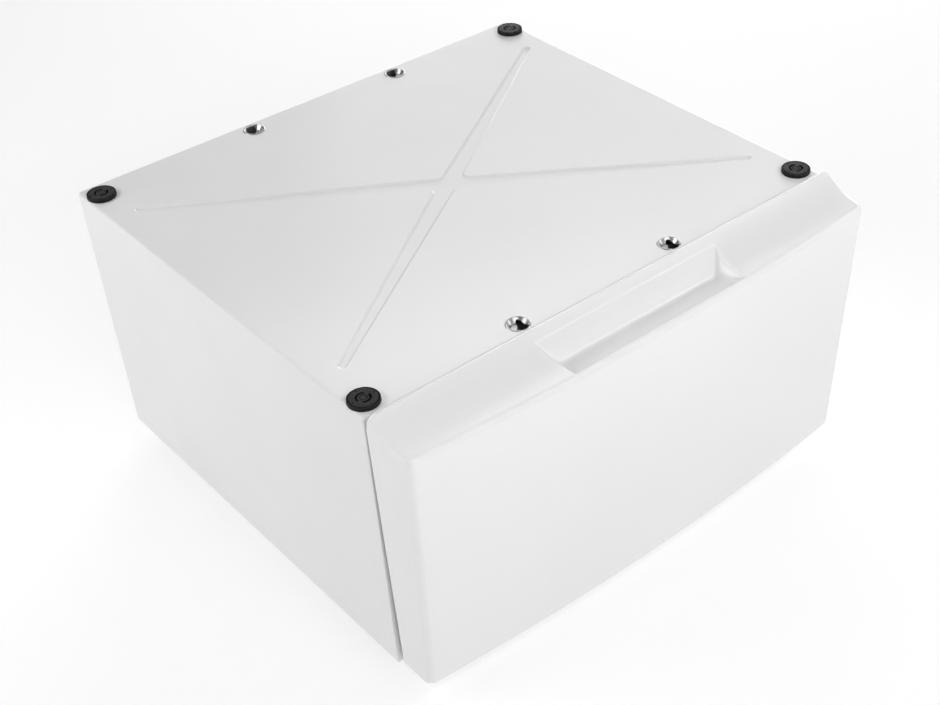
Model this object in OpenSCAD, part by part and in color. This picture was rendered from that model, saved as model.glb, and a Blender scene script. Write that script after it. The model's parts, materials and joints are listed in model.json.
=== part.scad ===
// Pedestal drawer for a front-loading washing machine: a folded steel cabinet on four
// levelling feet, with four rubber pads and four tie-down cups on top to hold the machine,
// and a full-extension drawer on ball-bearing slides behind a bowed front with a finger pull.
// Millimetres. +Z is up, the drawer opens toward -Y, the origin is on the floor under the
// middle of the whole object.

/* [Cabinet] */
// Width across the two side walls
cab_w = 686; // [640:1:740]
// Depth from the front flanges to the back flanges
cab_d = 600; // [570:1:660]
// Height from the bottom flanges to the top sheet
cab_h = 363; // [350:1:420]
// Thickness of the cabinet's sheet steel
sheet_t = 1.2; // [1:0.1:1.6]
// Outer radius of the long folds between the top and the sides
fold_r = 4; // [2.5:0.5:6]
// Outer radius of the folds round the front opening
front_fold_r = 2; // [1.6:0.1:3]
// Width of the flanges beside the front opening
side_flange_w = 20; // [16:1:24]
// Height of the flange above the front opening
top_flange_h = 25; // [20:1:32]
// Width of the flanges under the sides
bottom_flange_w = 20; // [16:1:24]
// Width of the flanges round the back
back_flange_w = 15; // [12:1:20]

/* [Bead pressed in the top] */
// How deep the crossed bead is pressed down
bead_depth = 2; // [1:0.25:3]
// Width of the bead at its four ends
bead_end_w = 12; // [10:1:16]
// Width of the bead where its arms cross
bead_mid_w = 27; // [20:1:32]
// Distance of the bead's ends from the middle of the cabinet
bead_end_x = 307; // [200:1:312]
// Distance of the bead's front ends from the front
bead_front_y = 87; // [70:1:120]
// Distance of the bead's back ends from the back
bead_back_y = 88; // [70:1:120]

/* [Rubber pads] */
// Diameter of a pad
pad_d = 36; // [30:0.5:40]
// Height of a pad above the top sheet
pad_h = 5; // [4:0.5:8]
// Distance of the pads' centres from the side walls' outer faces
pad_side = 18; // [17:0.5:24]
// Distance of the front pads' centres from the front
pad_front = 23; // [21:0.5:30]
// Distance of the back pads' centres from the back
pad_back = 28.5; // [22:0.5:34]
// Diameter of the stem that plugs into the top sheet
pad_stem_d = 8; // [6:0.5:10]

/* [Tie-down cups] */
// Diameter of a cup's rim
cup_d = 28.5; // [26:0.5:30]
// Depth of a cup's dish below the top sheet
cup_depth = 5; // [4:0.5:7]
// Distance of the front cups' centres from the front
cup_front = 16.3; // [16:0.1:24]
// Distance of the back cups' centres from the back
cup_back = 18; // [17:0.5:26]
// Distance of the outer cups from the middle, front left and back right
cup_far_x = 127; // [120:0.5:160]
// Distance of the inner cups from the middle, front right and back left
cup_near_x = 100; // [80:0.5:110]
// Width of the wide mouth of a cup's slot
slot_mouth_w = 12.5; // [10:0.5:14]
// Width of the narrow end of a cup's slot
slot_neck_w = 7; // [5:0.5:8]

/* [Levelling feet] */
// Height of the cabinet's bottom edge above the floor
foot_h = 21; // [20:0.5:26]
// Distance of the feet from the cabinet's side walls
foot_side = 45; // [42:1:60]
// Distance of the feet from the cabinet's front and back
foot_end = 45; // [42:1:60]
// Diameter of the rubber sole
sole_d = 40; // [32:1:44]
// Thickness of the rubber sole
sole_t = 8; // [6:0.5:10]
// Diameter of the threaded stud
stud_d = 10; // [8:0.5:12]
// How far a foot screws out
foot_travel = 20; // [10:1:22]
// Thickness of the plate that takes the stud
foot_plate_t = 3; // [2:0.5:4]
// Side of the square plate that takes the stud
foot_plate_w = 84; // [76:1:90]
// Height of the weld nut on the plate
weld_nut_h = 10; // [8:1:12]

/* [Drawer front] */
// Gap between the cabinet and the drawer front
front_gap = 6; // [4:0.5:8]
// How far the front's bottom corners stand in from the cabinet's side walls
front_inset = 4; // [2:0.5:10]
// How much wider each end of the front gets on its way up to the finger scoop
front_flare = 5; // [0:0.5:6]
// Height of the front's bottom edge above the cabinet's bottom edge
front_lift = 2.5; // [0:0.5:6]
// Distance of the front's bottom corners from the cabinet
front_reach = 55.5; // [45:0.5:70]
// How much further out the lip is than the bottom edge
front_rake = 17; // [8:0.5:24]
// How much further out the middle of the front is than its ends
front_bow = 16; // [6:0.5:24]
// Height of the lip above the cabinet's bottom edge
lip_z = 351; // [320:1:352]
// Radius of the rolled edge along the lip
lip_r = 8; // [4:0.5:10]
// Radius of the upright edges at the two ends
end_r = 9; // [6:0.5:14]
// Height of the rounding over the top of the two ends
end_top_r = 6.5; // [4:0.5:10]
// Radius of the scoop that runs along the top of the front
scoop_r = 92; // [75:1:110]
// Distance from the cabinet at which the scoop turns level
scoop_flat = 70; // [66:1:74]
// Distance from the cabinet of the scoop's top edge
scoop_back = 12.5; // [11:0.5:16]
// Wall thickness of the front
front_wall = 3; // [2.5:0.25:4]

/* [Finger pocket] */
// Width of the finger pocket
pocket_w = 269; // [200:1:320]
// Depth of the pocket's floor below the lip
pocket_depth = 30; // [18:1:32]
// Distance from the cabinet at which the pocket leaves the scoop
pocket_back = 25; // [23:0.5:30]
// Radius of the roll from the scoop into the pocket
pocket_roll_r = 12; // [5:0.5:16]
// Steepness of the pocket's back wall in degrees
pocket_slope = 66; // [58:1:70]
// Thickness of the lip in front of the pocket at the pocket's ends
pocket_lip_t = 8; // [5:0.5:9]

/* [Screws] */
// Radius of the back panel's screws
back_screw_r = 2; // [1.5:0.25:2.5]
// Distance between the screws along the top and bottom of the back panel
back_screw_pitch = 200; // [120:5:260]
// Distance of the back panel's upper and lower side screws from its top and bottom
back_screw_end = 45; // [30:1:70]
// Radius of the screws in the drawer front
front_screw_r = 2; // [1.75:0.25:2.5]
// Length of the screws in the drawer front
front_screw_len = 16; // [12:1:20]
// Distance of the outer screws from the sides of the drawer box
front_screw_inset = 49; // [30:1:80]
// Radius of the slides' rivets
rivet_r = 2; // [1.5:0.25:2.5]

/* [Drawer box] */
// Height of the drawer box
box_h = 250; // [150:1:260]
// Depth of the drawer box behind the front
box_d = 520; // [516:1:550]
// Height of the box's underside above the cabinet's bottom edge
box_lift = 45; // [40:1:55]
// Thickness of the box's sheet steel
box_t = 1; // [0.8:0.1:1.4]
// Width of the rolled hem along the top of the box's sides
hem_w = 8; // [6:0.5:12]
// Height of the rolled hem
hem_drop = 6; // [4:0.5:8]
// Width of the flanges that carry the box's bottom
box_flange_w = 15; // [10:1:20]
// Thickness of the plate that closes the back of the front
liner_t = 2; // [1.5:0.25:3]

/* [Slides] */
// Height of the cabinet member
slide_h = 45; // [45:1:50]
// Thickness of the closed slide
slide_t = 12.7; // [12.7:0.1:14]
// Thickness of the slides' steel
slide_sheet = 1.2; // [1:0.05:1.3]
// Diameter of the steel balls
ball_d = 3.2; // [3:0.1:3.4]
// Number of balls in one row
ball_count = 10; // [6:1:12]
// How far the drawer opens
drawer_travel = 500; // [400:1:500]
// Height of the slides' middle above the box's underside
slide_lift = 110; // [60:1:140]

/* [Hidden] */
$fn = 96;

white = "#eeeeec";
steel = "#b9bcbe";
eps = 0.01;
// clearance between a shaft and its hole, on the radius
fit = 0.05;
// gap between a ball and its race
race_gap = 0.3;

// levels of the cabinet
cab_z0 = foot_h;
cab_z1 = cab_z0 + cab_h;
half_w = cab_w / 2;
inner_x = half_w - sheet_t;
post_x = half_w - side_flange_w;
post_y0 = sheet_t;
post_w = 40;
post_lip = 12;
panel_y = cab_d - 2 * sheet_t;
rail_h = 32;
rail_d = 30;
top_rail_h = 12;
plate_z0 = cab_z0 + sheet_t;
plate_z1 = plate_z0 + foot_plate_t;

// slides
slide_rail_t = 1.5;
slide_rail_h = 60;
slide_rail_lip = 12;
rivet_inset = 60;
slide_y0 = 4;
slide_len = drawer_travel + 8;
slide_x = post_x - slide_rail_t;
box_z0 = cab_z0 + box_lift;
slide_z = box_z0 + slide_lift;
box_x = slide_x - slide_t;
// half heights of the three members, outside their flanges, from the cabinet member inward
race_step = slide_sheet + ball_d + 2 * race_gap;
outer_hz = slide_h / 2;
middle_hz = outer_hz - race_step;
inner_hz = middle_hz - race_step;
cage_t = 0.5;
cage_len = 200;
middle_web_x = slide_sheet + 1;
outer_cage_x = slide_sheet + 0.2;
inner_cage_x = middle_web_x + slide_sheet + 0.3;
member_flange_end = 10.5;
cage_flange_end = 9.2;
ball_x = 6.6;
// each cage stays between its two members when the drawer is open
cage_y = slide_y0 + drawer_travel / 4 + 5;

// feet
nut_h = 6;
nut_af = 17;
hex_z1 = plate_z0 - nut_h;
// the stud still fills most of the weld nut when the foot is screwed out
stud_len = nut_h + 8 + foot_travel;
foot_x = half_w - foot_side;

// front
front_w = cab_w - 2 * front_inset;
front_z0 = cab_z0 + front_lift;
lip_top = cab_z0 + lip_z;
scoop_top = lip_top + scoop_rise(scoop_back);
nose_r = 2.5;
bottom_r = 3;
liner_gap = 0.3;
liner_x = front_w / 2 - front_wall - 1;
liner_z0 = front_z0 + front_wall + 1;
liner_z1 = lip_top - lip_r - front_wall;
liner_ledge = 5;
liner_screw_inset = 20;
pocket_z = lip_top - pocket_depth;
// the pocket's roll starts just clear of the scoop, so that the two cross in a clean line
roll_start = 0.4;
pocket_front = front_reach + front_rake + bow(pocket_w / 2) - pocket_lip_t;

// the object's middle in Y: the front's crown and the back screws' heads are its ends
screw_head_t = 2.2;
back_screw_len = 8;
mid_y = (cab_d + screw_head_t - front_reach - front_rake - front_bow) / 2;

pad_y = [pad_front, cab_d - pad_back];
cup_y = [cup_front, cab_d - cup_back];
foot_y = [foot_end, cab_d - foot_end];

// ---- functions ----
function scoop_rise(u) = u < scoop_flat ? scoop_r - sqrt(pow(scoop_r, 2) - pow(scoop_flat - u, 2)) : 0;
function bow(x) = front_bow * (1 - pow(x / (front_w / 2), 2));
function up_share(z) = (z - front_z0) / (lip_top - front_z0);
function end_x(z) = front_w / 2 + front_flare * min(up_share(z), 1);
function face_u(x, z) = front_reach + front_rake * up_share(z) + bow(min(abs(x), front_w / 2));
// points of an arc: centre, radius, first and last angle, number of steps
function arc(c, r, a0, a1, n) = [for (i = [0:n]) c + r * [cos(a0 + (a1 - a0) * i / n), sin(a0 + (a1 - a0) * i / n)]];

// one upright section of the front, as [distance from the cabinet, height], from the back
// bottom edge round the face, the lip, the scoop and its top edge; e0 and e1 pull the face
// and the top in where the ends are rounded
function front_section(x, e0, e1) =
    let (
        foot_u = face_u(x, front_z0) - e0,
        lip_u = face_u(x, lip_top) - e0 - lip_r,
        nose_a = asin((scoop_flat - scoop_back) / scoop_r),
        nose_c = [scoop_back - nose_r * sin(nose_a), scoop_top - e1 - nose_r * cos(nose_a)],
        steps = 12
    )
    concat(
        [[front_gap, front_z0]],
        arc([foot_u - bottom_r, front_z0 + bottom_r], bottom_r, -90, 0, 3),
        arc([lip_u, lip_top - e1 - lip_r], lip_r, 0, 90, 6),
        [for (i = [1:steps])
            let (u = lip_u + (scoop_back - lip_u) * i / steps)
            [u, lip_top - e1 + scoop_rise(u)]],
        arc(nose_c, nose_r, 90 - nose_a + 20, 180, 4),
        [[front_gap, cab_z1 - 4 - e1]]
    );

// the sections' places along X: [x at the bottom, e0, e1]
edge_steps = 4;
bay_steps = 16;
function front_stations() = concat(
    [for (i = [0:edge_steps - 1])
        let (a = 90 * i / edge_steps)
        [-front_w / 2 + end_r * (1 - cos(a)), end_r * (1 - sin(a)), end_top_r * (1 - sin(a))]],
    [for (i = [0:bay_steps])
        [(front_w / 2 - end_r) * (2 * i / bay_steps - 1), 0, 0]],
    [for (i = [edge_steps - 1:-1:0])
        let (a = 90 * i / edge_steps)
        [front_w / 2 - end_r * (1 - cos(a)), end_r * (1 - sin(a)), end_top_r * (1 - sin(a))]]
);

// faces of a loft through m rings of n points, wound to face out
function loft_faces(m, n) = concat(
    [[for (j = [n - 1:-1:0]) j]],
    [for (i = [0:m - 2]) for (j = [0:n - 1]) [i * n + j, (i + 1) * n + (j + 1) % n, (i + 1) * n + j]],
    [for (i = [0:m - 2]) for (j = [0:n - 1]) [i * n + j, i * n + (j + 1) % n, (i + 1) * n + (j + 1) % n]],
    [[for (j = [0:n - 1]) (m - 1) * n + j]]
);

// ---- small helpers ----
module place() {
    translate([0, -mid_y, 0])
        children();
}

// a copy for each side of the cabinet: s = -1 is the left, 1 the right
module side(s) {
    if (s < 0)
        mirror([1, 0, 0])
            children();
    else
        children();
}

module bar(x0, x1, y0, y1, z0, z1) {
    translate([x0, y0, z0])
        cube([x1 - x0, y1 - y0, z1 - z0]);
}

module along_y(y0, y1) {
    translate([0, y1, 0])
        rotate([90, 0, 0])
            linear_extrude(y1 - y0)
                children();
}

module along_x(x0, x1) {
    translate([x0, 0, 0])
        rotate([90, 0, 90])
            linear_extrude(x1 - x0)
                children();
}

module peg_y(r, y0, y1) {
    translate([0, y1, 0])
        rotate([90, 0, 0])
            cylinder(r = r, h = y1 - y0);
}

module peg_x(r, x0, x1) {
    translate([x0, 0, 0])
        rotate([0, 90, 0])
            cylinder(r = r, h = x1 - x0);
}

// ---- cabinet ----
module wrap_outline(w, z0, z1, r) {
    translate([-w / 2, z0])
        square([w, z1 - z0 - r]);
    translate([-w / 2 + r, z1 - r - eps])
        square([w - 2 * r, r + eps]);
    for (s = [-1, 1])
        translate([s * (w / 2 - r), z1 - r])
            circle(r);
}

module bead_arm(s, w_end, w_mid, z, h, grow) {
    hull()
        for (p = [[-s * bead_end_x, bead_front_y, w_end],
                  [0, (bead_front_y + cab_d - bead_back_y) / 2, w_mid],
                  [s * bead_end_x, cab_d - bead_back_y, w_end]])
            translate([p[0], p[1], z])
                cylinder(r1 = p[2] / 2 - bead_depth + grow, r2 = p[2] / 2 + grow, h = h, $fn = 32);
}

module cabinet_shell() {
    color(white) place()
        difference() {
            union() {
                along_y(0, cab_d)
                    difference() {
                        wrap_outline(cab_w, cab_z0, cab_z1, fold_r);
                        wrap_outline(cab_w - 2 * sheet_t, cab_z0 - 1, cab_z1 - sheet_t, fold_r - sheet_t);
                    }
                bar(-inner_x, inner_x, 0, sheet_t, cab_z1 - top_flange_h, cab_z1 - sheet_t);
                bar(-inner_x, inner_x, cab_d - sheet_t, cab_d, cab_z1 - back_flange_w, cab_z1 - sheet_t);
                for (s = [-1, 1])
                    side(s) {
                        bar(post_x, inner_x, 0, sheet_t, cab_z0, cab_z1 - top_flange_h);
                        bar(inner_x - back_flange_w, inner_x, cab_d - sheet_t, cab_d,
                            cab_z0, cab_z1 - back_flange_w);
                        bar(half_w - bottom_flange_w, inner_x, sheet_t, cab_d - sheet_t,
                            cab_z0, cab_z0 + sheet_t);
                    }
                for (s = [-1, 1])
                    bead_arm(s, bead_end_w, bead_mid_w, cab_z1 - bead_depth - sheet_t, bead_depth, 0.6);
            }
            for (s = [-1, 1])
                bead_arm(s, bead_end_w, bead_mid_w, cab_z1 - bead_depth, bead_depth + eps, 0);
            // rounded fold along the top of the front opening
            difference() {
                bar(-half_w, half_w, -1, front_fold_r, cab_z1 - front_fold_r, cab_z1 + 1);
                translate([0, front_fold_r, cab_z1 - front_fold_r])
                    peg_x(front_fold_r, -half_w, half_w);
            }
            for (f = [0, 1])
                for (s = [-1, 1])
                    translate([cup_x(f, s), cup_y[f], cab_z1 - 8])
                        cylinder(r = cup_dish_r + 0.2, h = 10);
            for (f = [0, 1])
                for (s = [-1, 1])
                    translate([s * (half_w - pad_side), pad_y[f], cab_z1 - 8])
                        cylinder(d = pad_stem_d, h = 10);
            at_back_screws()
                peg_y(back_screw_r + fit, cab_d - 3, cab_d + 1);
        }
}

back_screw_x = inner_x - back_flange_w / 2;

module at_back_screws() {
    for (s = [-1, 1])
        for (z = [cab_z0 + back_screw_end, (cab_z0 + cab_z1) / 2, cab_z1 - back_screw_end])
            translate([s * back_screw_x, 0, z])
                children();
    for (i = [-1:1])
        for (z = [cab_z0 + rail_h / 2, cab_z1 - back_flange_w / 2])
            translate([i * back_screw_pitch, 0, z])
                children();
}

module back_panel() {
    color(steel) place()
        difference() {
            bar(-inner_x, inner_x, panel_y, panel_y + sheet_t, plate_z0, cab_z1 - sheet_t);
            at_back_screws()
                peg_y(back_screw_r + fit, panel_y - 1, cab_d);
        }
}

// heads on the flanges, or on the panel itself along the open bottom edge
module back_panel_screws() {
    color(steel) place()
        at_back_screws() {
            peg_y(back_screw_r, cab_d - back_screw_len, cab_d);
            peg_y(2 * back_screw_r, cab_d, cab_d + screw_head_t);
        }
}

module rail_channel(x1, depth, h) {
    bar(-x1, x1, 0, sheet_t, 0, h);
    bar(-x1, x1, sheet_t, depth, 0, sheet_t);
    bar(-x1, x1, sheet_t, depth, h - sheet_t, h);
}

module front_top_rail() {
    color(steel) place()
        translate([0, sheet_t, cab_z1 - top_flange_h])
            rail_channel(post_x, rail_d - sheet_t, top_rail_h);
}

module front_bottom_rail() {
    color(white) place()
        translate([0, 0, cab_z0])
            rail_channel(post_x, rail_d, rail_h);
}

// the back rail's web backs the panel's bottom edge, and its outer strap closes the opening
module rear_bottom_rail() {
    color(steel) place()
        difference() {
            union() {
                translate([0, panel_y, cab_z0])
                    mirror([0, 1, 0])
                        rail_channel(post_x, rail_d, rail_h);
                bar(-post_x, post_x, panel_y, cab_d, cab_z0, cab_z0 + sheet_t);
                bar(back_flange_w - inner_x, inner_x - back_flange_w, cab_d - sheet_t, cab_d,
                    cab_z0 + sheet_t, cab_z0 + rail_h);
            }
            at_back_screws()
                peg_y(back_screw_r + fit, panel_y - 3, cab_d + 1);
        }
}

// a corner post: a channel that opens toward the side wall, standing on the foot plate
module post(s, f) {
    y0 = f == 0 ? post_y0 : panel_y - post_w;
    z1 = cab_z1 - sheet_t;
    difference() {
        side(s) {
            bar(post_x, post_x + sheet_t, y0, y0 + post_w, plate_z1, z1);
            for (y = [y0, y0 + post_w - sheet_t])
                bar(post_x + sheet_t, inner_x, y, y + sheet_t, plate_z1, z1 - fold_r);
            for (y = [y0 + sheet_t, y0 + post_w - sheet_t - post_lip])
                bar(inner_x - sheet_t, inner_x, y, y + post_lip, plate_z1, z1 - fold_r);
        }
        translate([s * (half_w - pad_side), pad_y[f], z1 - 14])
            cylinder(d = pad_stem_d + 6, h = 20);
        at_back_screws()
            peg_y(back_screw_r + fit, panel_y - 3, panel_y + 1);
    }
}

module front_left_post() {
    color(steel) place() post(-1, 0);
}

module front_right_post() {
    color(steel) place() post(1, 0);
}

module rear_left_post() {
    color(steel) place() post(-1, 1);
}

module rear_right_post() {
    color(steel) place() post(1, 1);
}

module at_slide_rivets(s) {
    for (y = [rivet_inset, slide_len / 2, slide_len - rivet_inset])
        translate([0, slide_y0 + y, slide_z])
            side(s)
                children();
}

module slide_rail(s) {
    difference() {
        side(s) {
            bar(slide_x, post_x, post_y0, panel_y, slide_z - slide_rail_h / 2, slide_z + slide_rail_h / 2);
            for (z = [slide_z - slide_rail_h / 2, slide_z + slide_rail_h / 2 - slide_rail_t])
                bar(post_x, post_x + slide_rail_lip, post_y0 + post_w, panel_y - post_w, z, z + slide_rail_t);
        }
        at_slide_rivets(s)
            peg_x(rivet_r + fit, slide_x - 1, post_x + 1);
    }
}

module left_slide_rail() {
    color(steel) place() slide_rail(-1);
}

module right_slide_rail() {
    color(steel) place() slide_rail(1);
}

// ---- feet ----
module at_foot(s, f) {
    translate([s * foot_x, foot_y[f], 0])
        children();
}

module foot_plates() {
    color(steel) place()
        for (s = [-1, 1])
            for (f = [0, 1]) {
                y0 = f == 0 ? sheet_t : panel_y - sheet_t - foot_plate_w;
                difference() {
                    union() {
                        side(s)
                            bar(inner_x - foot_plate_w, inner_x, y0, y0 + foot_plate_w, plate_z0, plate_z1);
                        at_foot(s, f)
                            translate([0, 0, plate_z1 - eps])
                                cylinder(d = nut_af + 1, h = weld_nut_h + eps);
                    }
                    at_foot(s, f)
                        translate([0, 0, plate_z0 - 1])
                            cylinder(r = stud_d / 2 + fit, h = foot_plate_t + weld_nut_h + 2);
                }
            }
}

module lock_nuts() {
    color(steel) place()
        for (s = [-1, 1])
            for (f = [0, 1])
                at_foot(s, f)
                    translate([0, 0, hex_z1])
                        difference() {
                            cylinder(d = nut_af / cos(30), h = nut_h, $fn = 6);
                            translate([0, 0, -1])
                                cylinder(r = stud_d / 2 + fit, h = nut_h + 2);
                        }
}

module foot(s, f) {
    color(steel) place()
        at_foot(s, f) {
            translate([0, 0, sole_t])
                cylinder(d = nut_af / cos(30), h = hex_z1 - sole_t, $fn = 6);
            translate([0, 0, hex_z1 - eps])
                cylinder(d = stud_d, h = stud_len - 1 + eps);
            translate([0, 0, hex_z1 + stud_len - 1])
                cylinder(d1 = stud_d, d2 = stud_d - 2, h = 1);
        }
}

module sole(s, f) {
    color("#2b2b2b") place()
        at_foot(s, f)
            rotate_extrude() {
                square([sole_d / 2 - 2, sole_t]);
                translate([0, 2])
                    square([sole_d / 2, sole_t - 4.5]);
                translate([sole_d / 2 - 2, 2])
                    circle(2);
                translate([sole_d / 2 - 2.5, sole_t - 2.5])
                    circle(2.5);
            }
}

module foot_front_left() {
    foot(-1, 0);
}

module foot_front_right() {
    foot(1, 0);
}

module foot_rear_left() {
    foot(-1, 1);
}

module foot_rear_right() {
    foot(1, 1);
}

module sole_front_left() {
    sole(-1, 0);
}

module sole_front_right() {
    sole(1, 0);
}

module sole_rear_left() {
    sole(-1, 1);
}

module sole_rear_right() {
    sole(1, 1);
}

// ---- rubber pads ----
module pad(s, f) {
    groove_r = 7.5;
    dimple_r = 13;
    color("#2b2b2b") place()
        translate([s * (half_w - pad_side), pad_y[f], cab_z1])
            difference() {
                union() {
                    cylinder(d = pad_d, h = pad_h * 0.45);
                    cylinder(d = pad_d - 1.2, h = pad_h - 1);
                    translate([0, 0, pad_h - 1 - eps])
                        cylinder(d1 = pad_d - 1.2, d2 = pad_d - 3.2, h = 1 + eps);
                    translate([0, 0, -6])
                        cylinder(d = pad_stem_d - 0.1, h = 6 + eps);
                    translate([0, 0, -6])
                        cylinder(d1 = pad_stem_d - 2, d2 = pad_stem_d + 2, h = 4.5);
                }
                for (a = [0, 180])
                    rotate([0, 0, a + 20])
                        translate([0, 0, pad_h - 0.6])
                            rotate_extrude(angle = 130)
                                translate([groove_r - 0.6, 0])
                                    square([1.2, 1]);
                for (a = [45:90:315])
                    rotate([0, 0, a])
                        translate([dimple_r, 0, pad_h - 0.6])
                            cylinder(r = 0.8, h = 1);
            }
}

module pad_front_left() {
    pad(-1, 0);
}

module pad_front_right() {
    pad(1, 0);
}

module pad_rear_left() {
    pad(-1, 1);
}

module pad_rear_right() {
    pad(1, 1);
}

// ---- tie-down cups ----
// the pattern is the same after half a turn: far cups front left and back right
function cup_x(f, s) = (f == 0) == (s < 0) ? s * cup_far_x : s * cup_near_x;
cup_t = 0.8;
cup_dish_r = cup_d / 2 - 1.6;
cup_floor_r = cup_dish_r - 3.6;

// the slot's mouth faces out: to the front for the front cups, to the back for the back ones
module cup(s, f) {
    out = f == 0 ? -1 : 1;
    color("#d8dadc") place()
        translate([cup_x(f, s), cup_y[f], cab_z1])
            difference() {
                rotate_extrude()
                    polygon([
                        [0, -cup_depth],
                        [cup_floor_r, -cup_depth],
                        [cup_dish_r - cup_t, -cup_t / 2],
                        [cup_dish_r, cup_t],
                        [cup_d / 2 - 0.6, cup_t],
                        [cup_d / 2, cup_t / 2],
                        [cup_d / 2, 0],
                        [cup_dish_r, 0],
                        [cup_floor_r + cup_t / 2, -cup_depth - cup_t],
                        [0, -cup_depth - cup_t]
                    ]);
                rotate([0, 0, out > 0 ? 0 : 180]) {
                    bar(-slot_mouth_w / 2, slot_mouth_w / 2, -1, cup_d / 2,
                        -cup_depth - 2, -1);
                    bar(-slot_neck_w / 2, slot_neck_w / 2, -4, 0, -cup_depth - 2, 0);
                    translate([0, -4, -cup_depth - 2])
                        cylinder(d = slot_neck_w, h = cup_depth + 2);
                }
            }
}

module cup_front_left() {
    cup(-1, 0);
}

module cup_front_right() {
    cup(1, 0);
}

module cup_rear_left() {
    cup(-1, 1);
}

module cup_rear_right() {
    cup(1, 1);
}

// ---- slides, drawn for the right side: x runs from the slide rail toward the drawer ----
module at_slide(s, y0) {
    side(s)
        translate([slide_x, y0, slide_z])
            mirror([1, 0, 0])
                children();
}

// a channel with its web at x0 and its flanges running on to x1
module channel(x0, x1, hz, t, len) {
    bar(x0, x0 + t, 0, len, -hz, hz);
    for (z = [-hz, hz - t])
        bar(x0 + t, x1, 0, len, z, z + t);
}

module slide_outer(s) {
    color(steel) place()
        difference() {
            at_slide(s, slide_y0)
                channel(0, member_flange_end, outer_hz, slide_sheet, slide_len);
            at_slide_rivets(s)
                peg_x(rivet_r + fit, box_x, post_x);
        }
}

module left_slide_outer() {
    slide_outer(-1);
}

module right_slide_outer() {
    slide_outer(1);
}

module slide_middle(s) {
    color(steel) place()
        at_slide(s, slide_y0)
            channel(middle_web_x, member_flange_end, middle_hz, slide_sheet, slide_len);
}

module left_slide_middle() {
    slide_middle(-1);
}

module right_slide_middle() {
    slide_middle(1);
}

// the drawer member opens toward the cabinet
module slide_inner(s) {
    color(steel) place()
        difference() {
            at_slide(s, slide_y0)
                translate([slide_t, 0, 0])
                    mirror([1, 0, 0])
                        channel(0, slide_t - inner_cage_x - cage_t - 0.4, inner_hz, slide_sheet, slide_len);
            at_slide_rivets(s)
                peg_x(rivet_r + fit, box_x - 1, box_x + slide_sheet + 1);
        }
}

module left_slide_inner() {
    slide_inner(-1);
}

module right_slide_inner() {
    slide_inner(1);
}

function race_z(hz) = hz - slide_sheet - race_gap - ball_d / 2;

module at_balls(hz) {
    pitch = cage_len / ball_count;
    for (i = [0:ball_count - 1])
        for (s = [-1, 1])
            translate([ball_x, pitch * (i + 0.5), s * race_z(hz)])
                children();
}

// a thin strip bent round the web of the member inside it, with a window for each ball
module cage(s, y0, x0, hz) {
    color("#d9d3bd") place()
        at_slide(s, y0)
            difference() {
                union() {
                    bar(x0, x0 + cage_t, 0, cage_len, -race_z(hz) - cage_t / 2, race_z(hz) + cage_t / 2);
                    for (k = [-1, 1])
                        bar(x0 + cage_t, cage_flange_end, 0, cage_len,
                            k * race_z(hz) - cage_t / 2, k * race_z(hz) + cage_t / 2);
                }
                at_balls(hz)
                    translate([0, 0, -1])
                        cylinder(d = ball_d + 2 * fit, h = 2);
            }
}

module balls(s, y0, hz) {
    color("#c9ccce") place()
        at_slide(s, y0)
            at_balls(hz)
                sphere(d = ball_d, $fn = 32);
}

module left_outer_cage() {
    cage(-1, cage_y, outer_cage_x, outer_hz);
}

module right_outer_cage() {
    cage(1, cage_y, outer_cage_x, outer_hz);
}

module left_inner_cage() {
    cage(-1, cage_y, inner_cage_x, middle_hz);
}

module right_inner_cage() {
    cage(1, cage_y, inner_cage_x, middle_hz);
}

module left_outer_balls() {
    balls(-1, cage_y, outer_hz);
}

module right_outer_balls() {
    balls(1, cage_y, outer_hz);
}

module left_inner_balls() {
    balls(-1, cage_y, middle_hz);
}

module right_inner_balls() {
    balls(1, cage_y, middle_hz);
}

// flush inside the slide, headed behind the rail
module slide_rivets() {
    color(steel) place()
        for (s = [-1, 1])
            at_slide_rivets(s) {
                peg_x(rivet_r, slide_x - slide_sheet, post_x);
                peg_x(2 * rivet_r, post_x, post_x + 1.5);
            }
}

// ---- drawer box ----
module drawer_side(s) {
    color(steel) place()
        difference() {
            side(s) {
                bar(box_x - box_t, box_x, -front_gap, box_d - front_gap, box_z0, box_z0 + box_h);
                bar(box_x - hem_w, box_x - box_t, -front_gap, box_d - front_gap,
                    box_z0 + box_h - box_t, box_z0 + box_h);
                bar(box_x - hem_w, box_x - hem_w + box_t, -front_gap, box_d - front_gap,
                    box_z0 + box_h - hem_drop, box_z0 + box_h - box_t);
                bar(box_x - box_t - box_flange_w, box_x - box_t, -front_gap, box_d - front_gap,
                    box_z0, box_z0 + box_t);
            }
            at_slide_rivets(s)
                peg_x(rivet_r + fit, box_x - 3, box_x + 1);
        }
}

module drawer_left_side() {
    drawer_side(-1);
}

module drawer_right_side() {
    drawer_side(1);
}

tray_wall_h = box_h - hem_drop - 2;

module at_front_screws() {
    for (x = [front_screw_inset - box_x, 0, box_x - front_screw_inset])
        for (z = [box_z0 + box_flange_w * 2, box_z0 + tray_wall_h - box_flange_w * 2])
            translate([x, 0, z])
                children();
}

module drawer_tray() {
    color(steel) place()
        difference() {
            union() {
                bar(box_t - box_x, box_x - box_t, -front_gap, box_d - front_gap,
                    box_z0 + box_t, box_z0 + 2 * box_t);
                for (y = [-front_gap, box_d - front_gap - box_t])
                    bar(box_t - box_x, box_x - box_t, y, y + box_t,
                        box_z0 + 2 * box_t, box_z0 + tray_wall_h);
            }
            at_front_screws()
                peg_y(front_screw_r + fit, -front_gap - 1, -front_gap + 3);
        }
}

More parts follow.
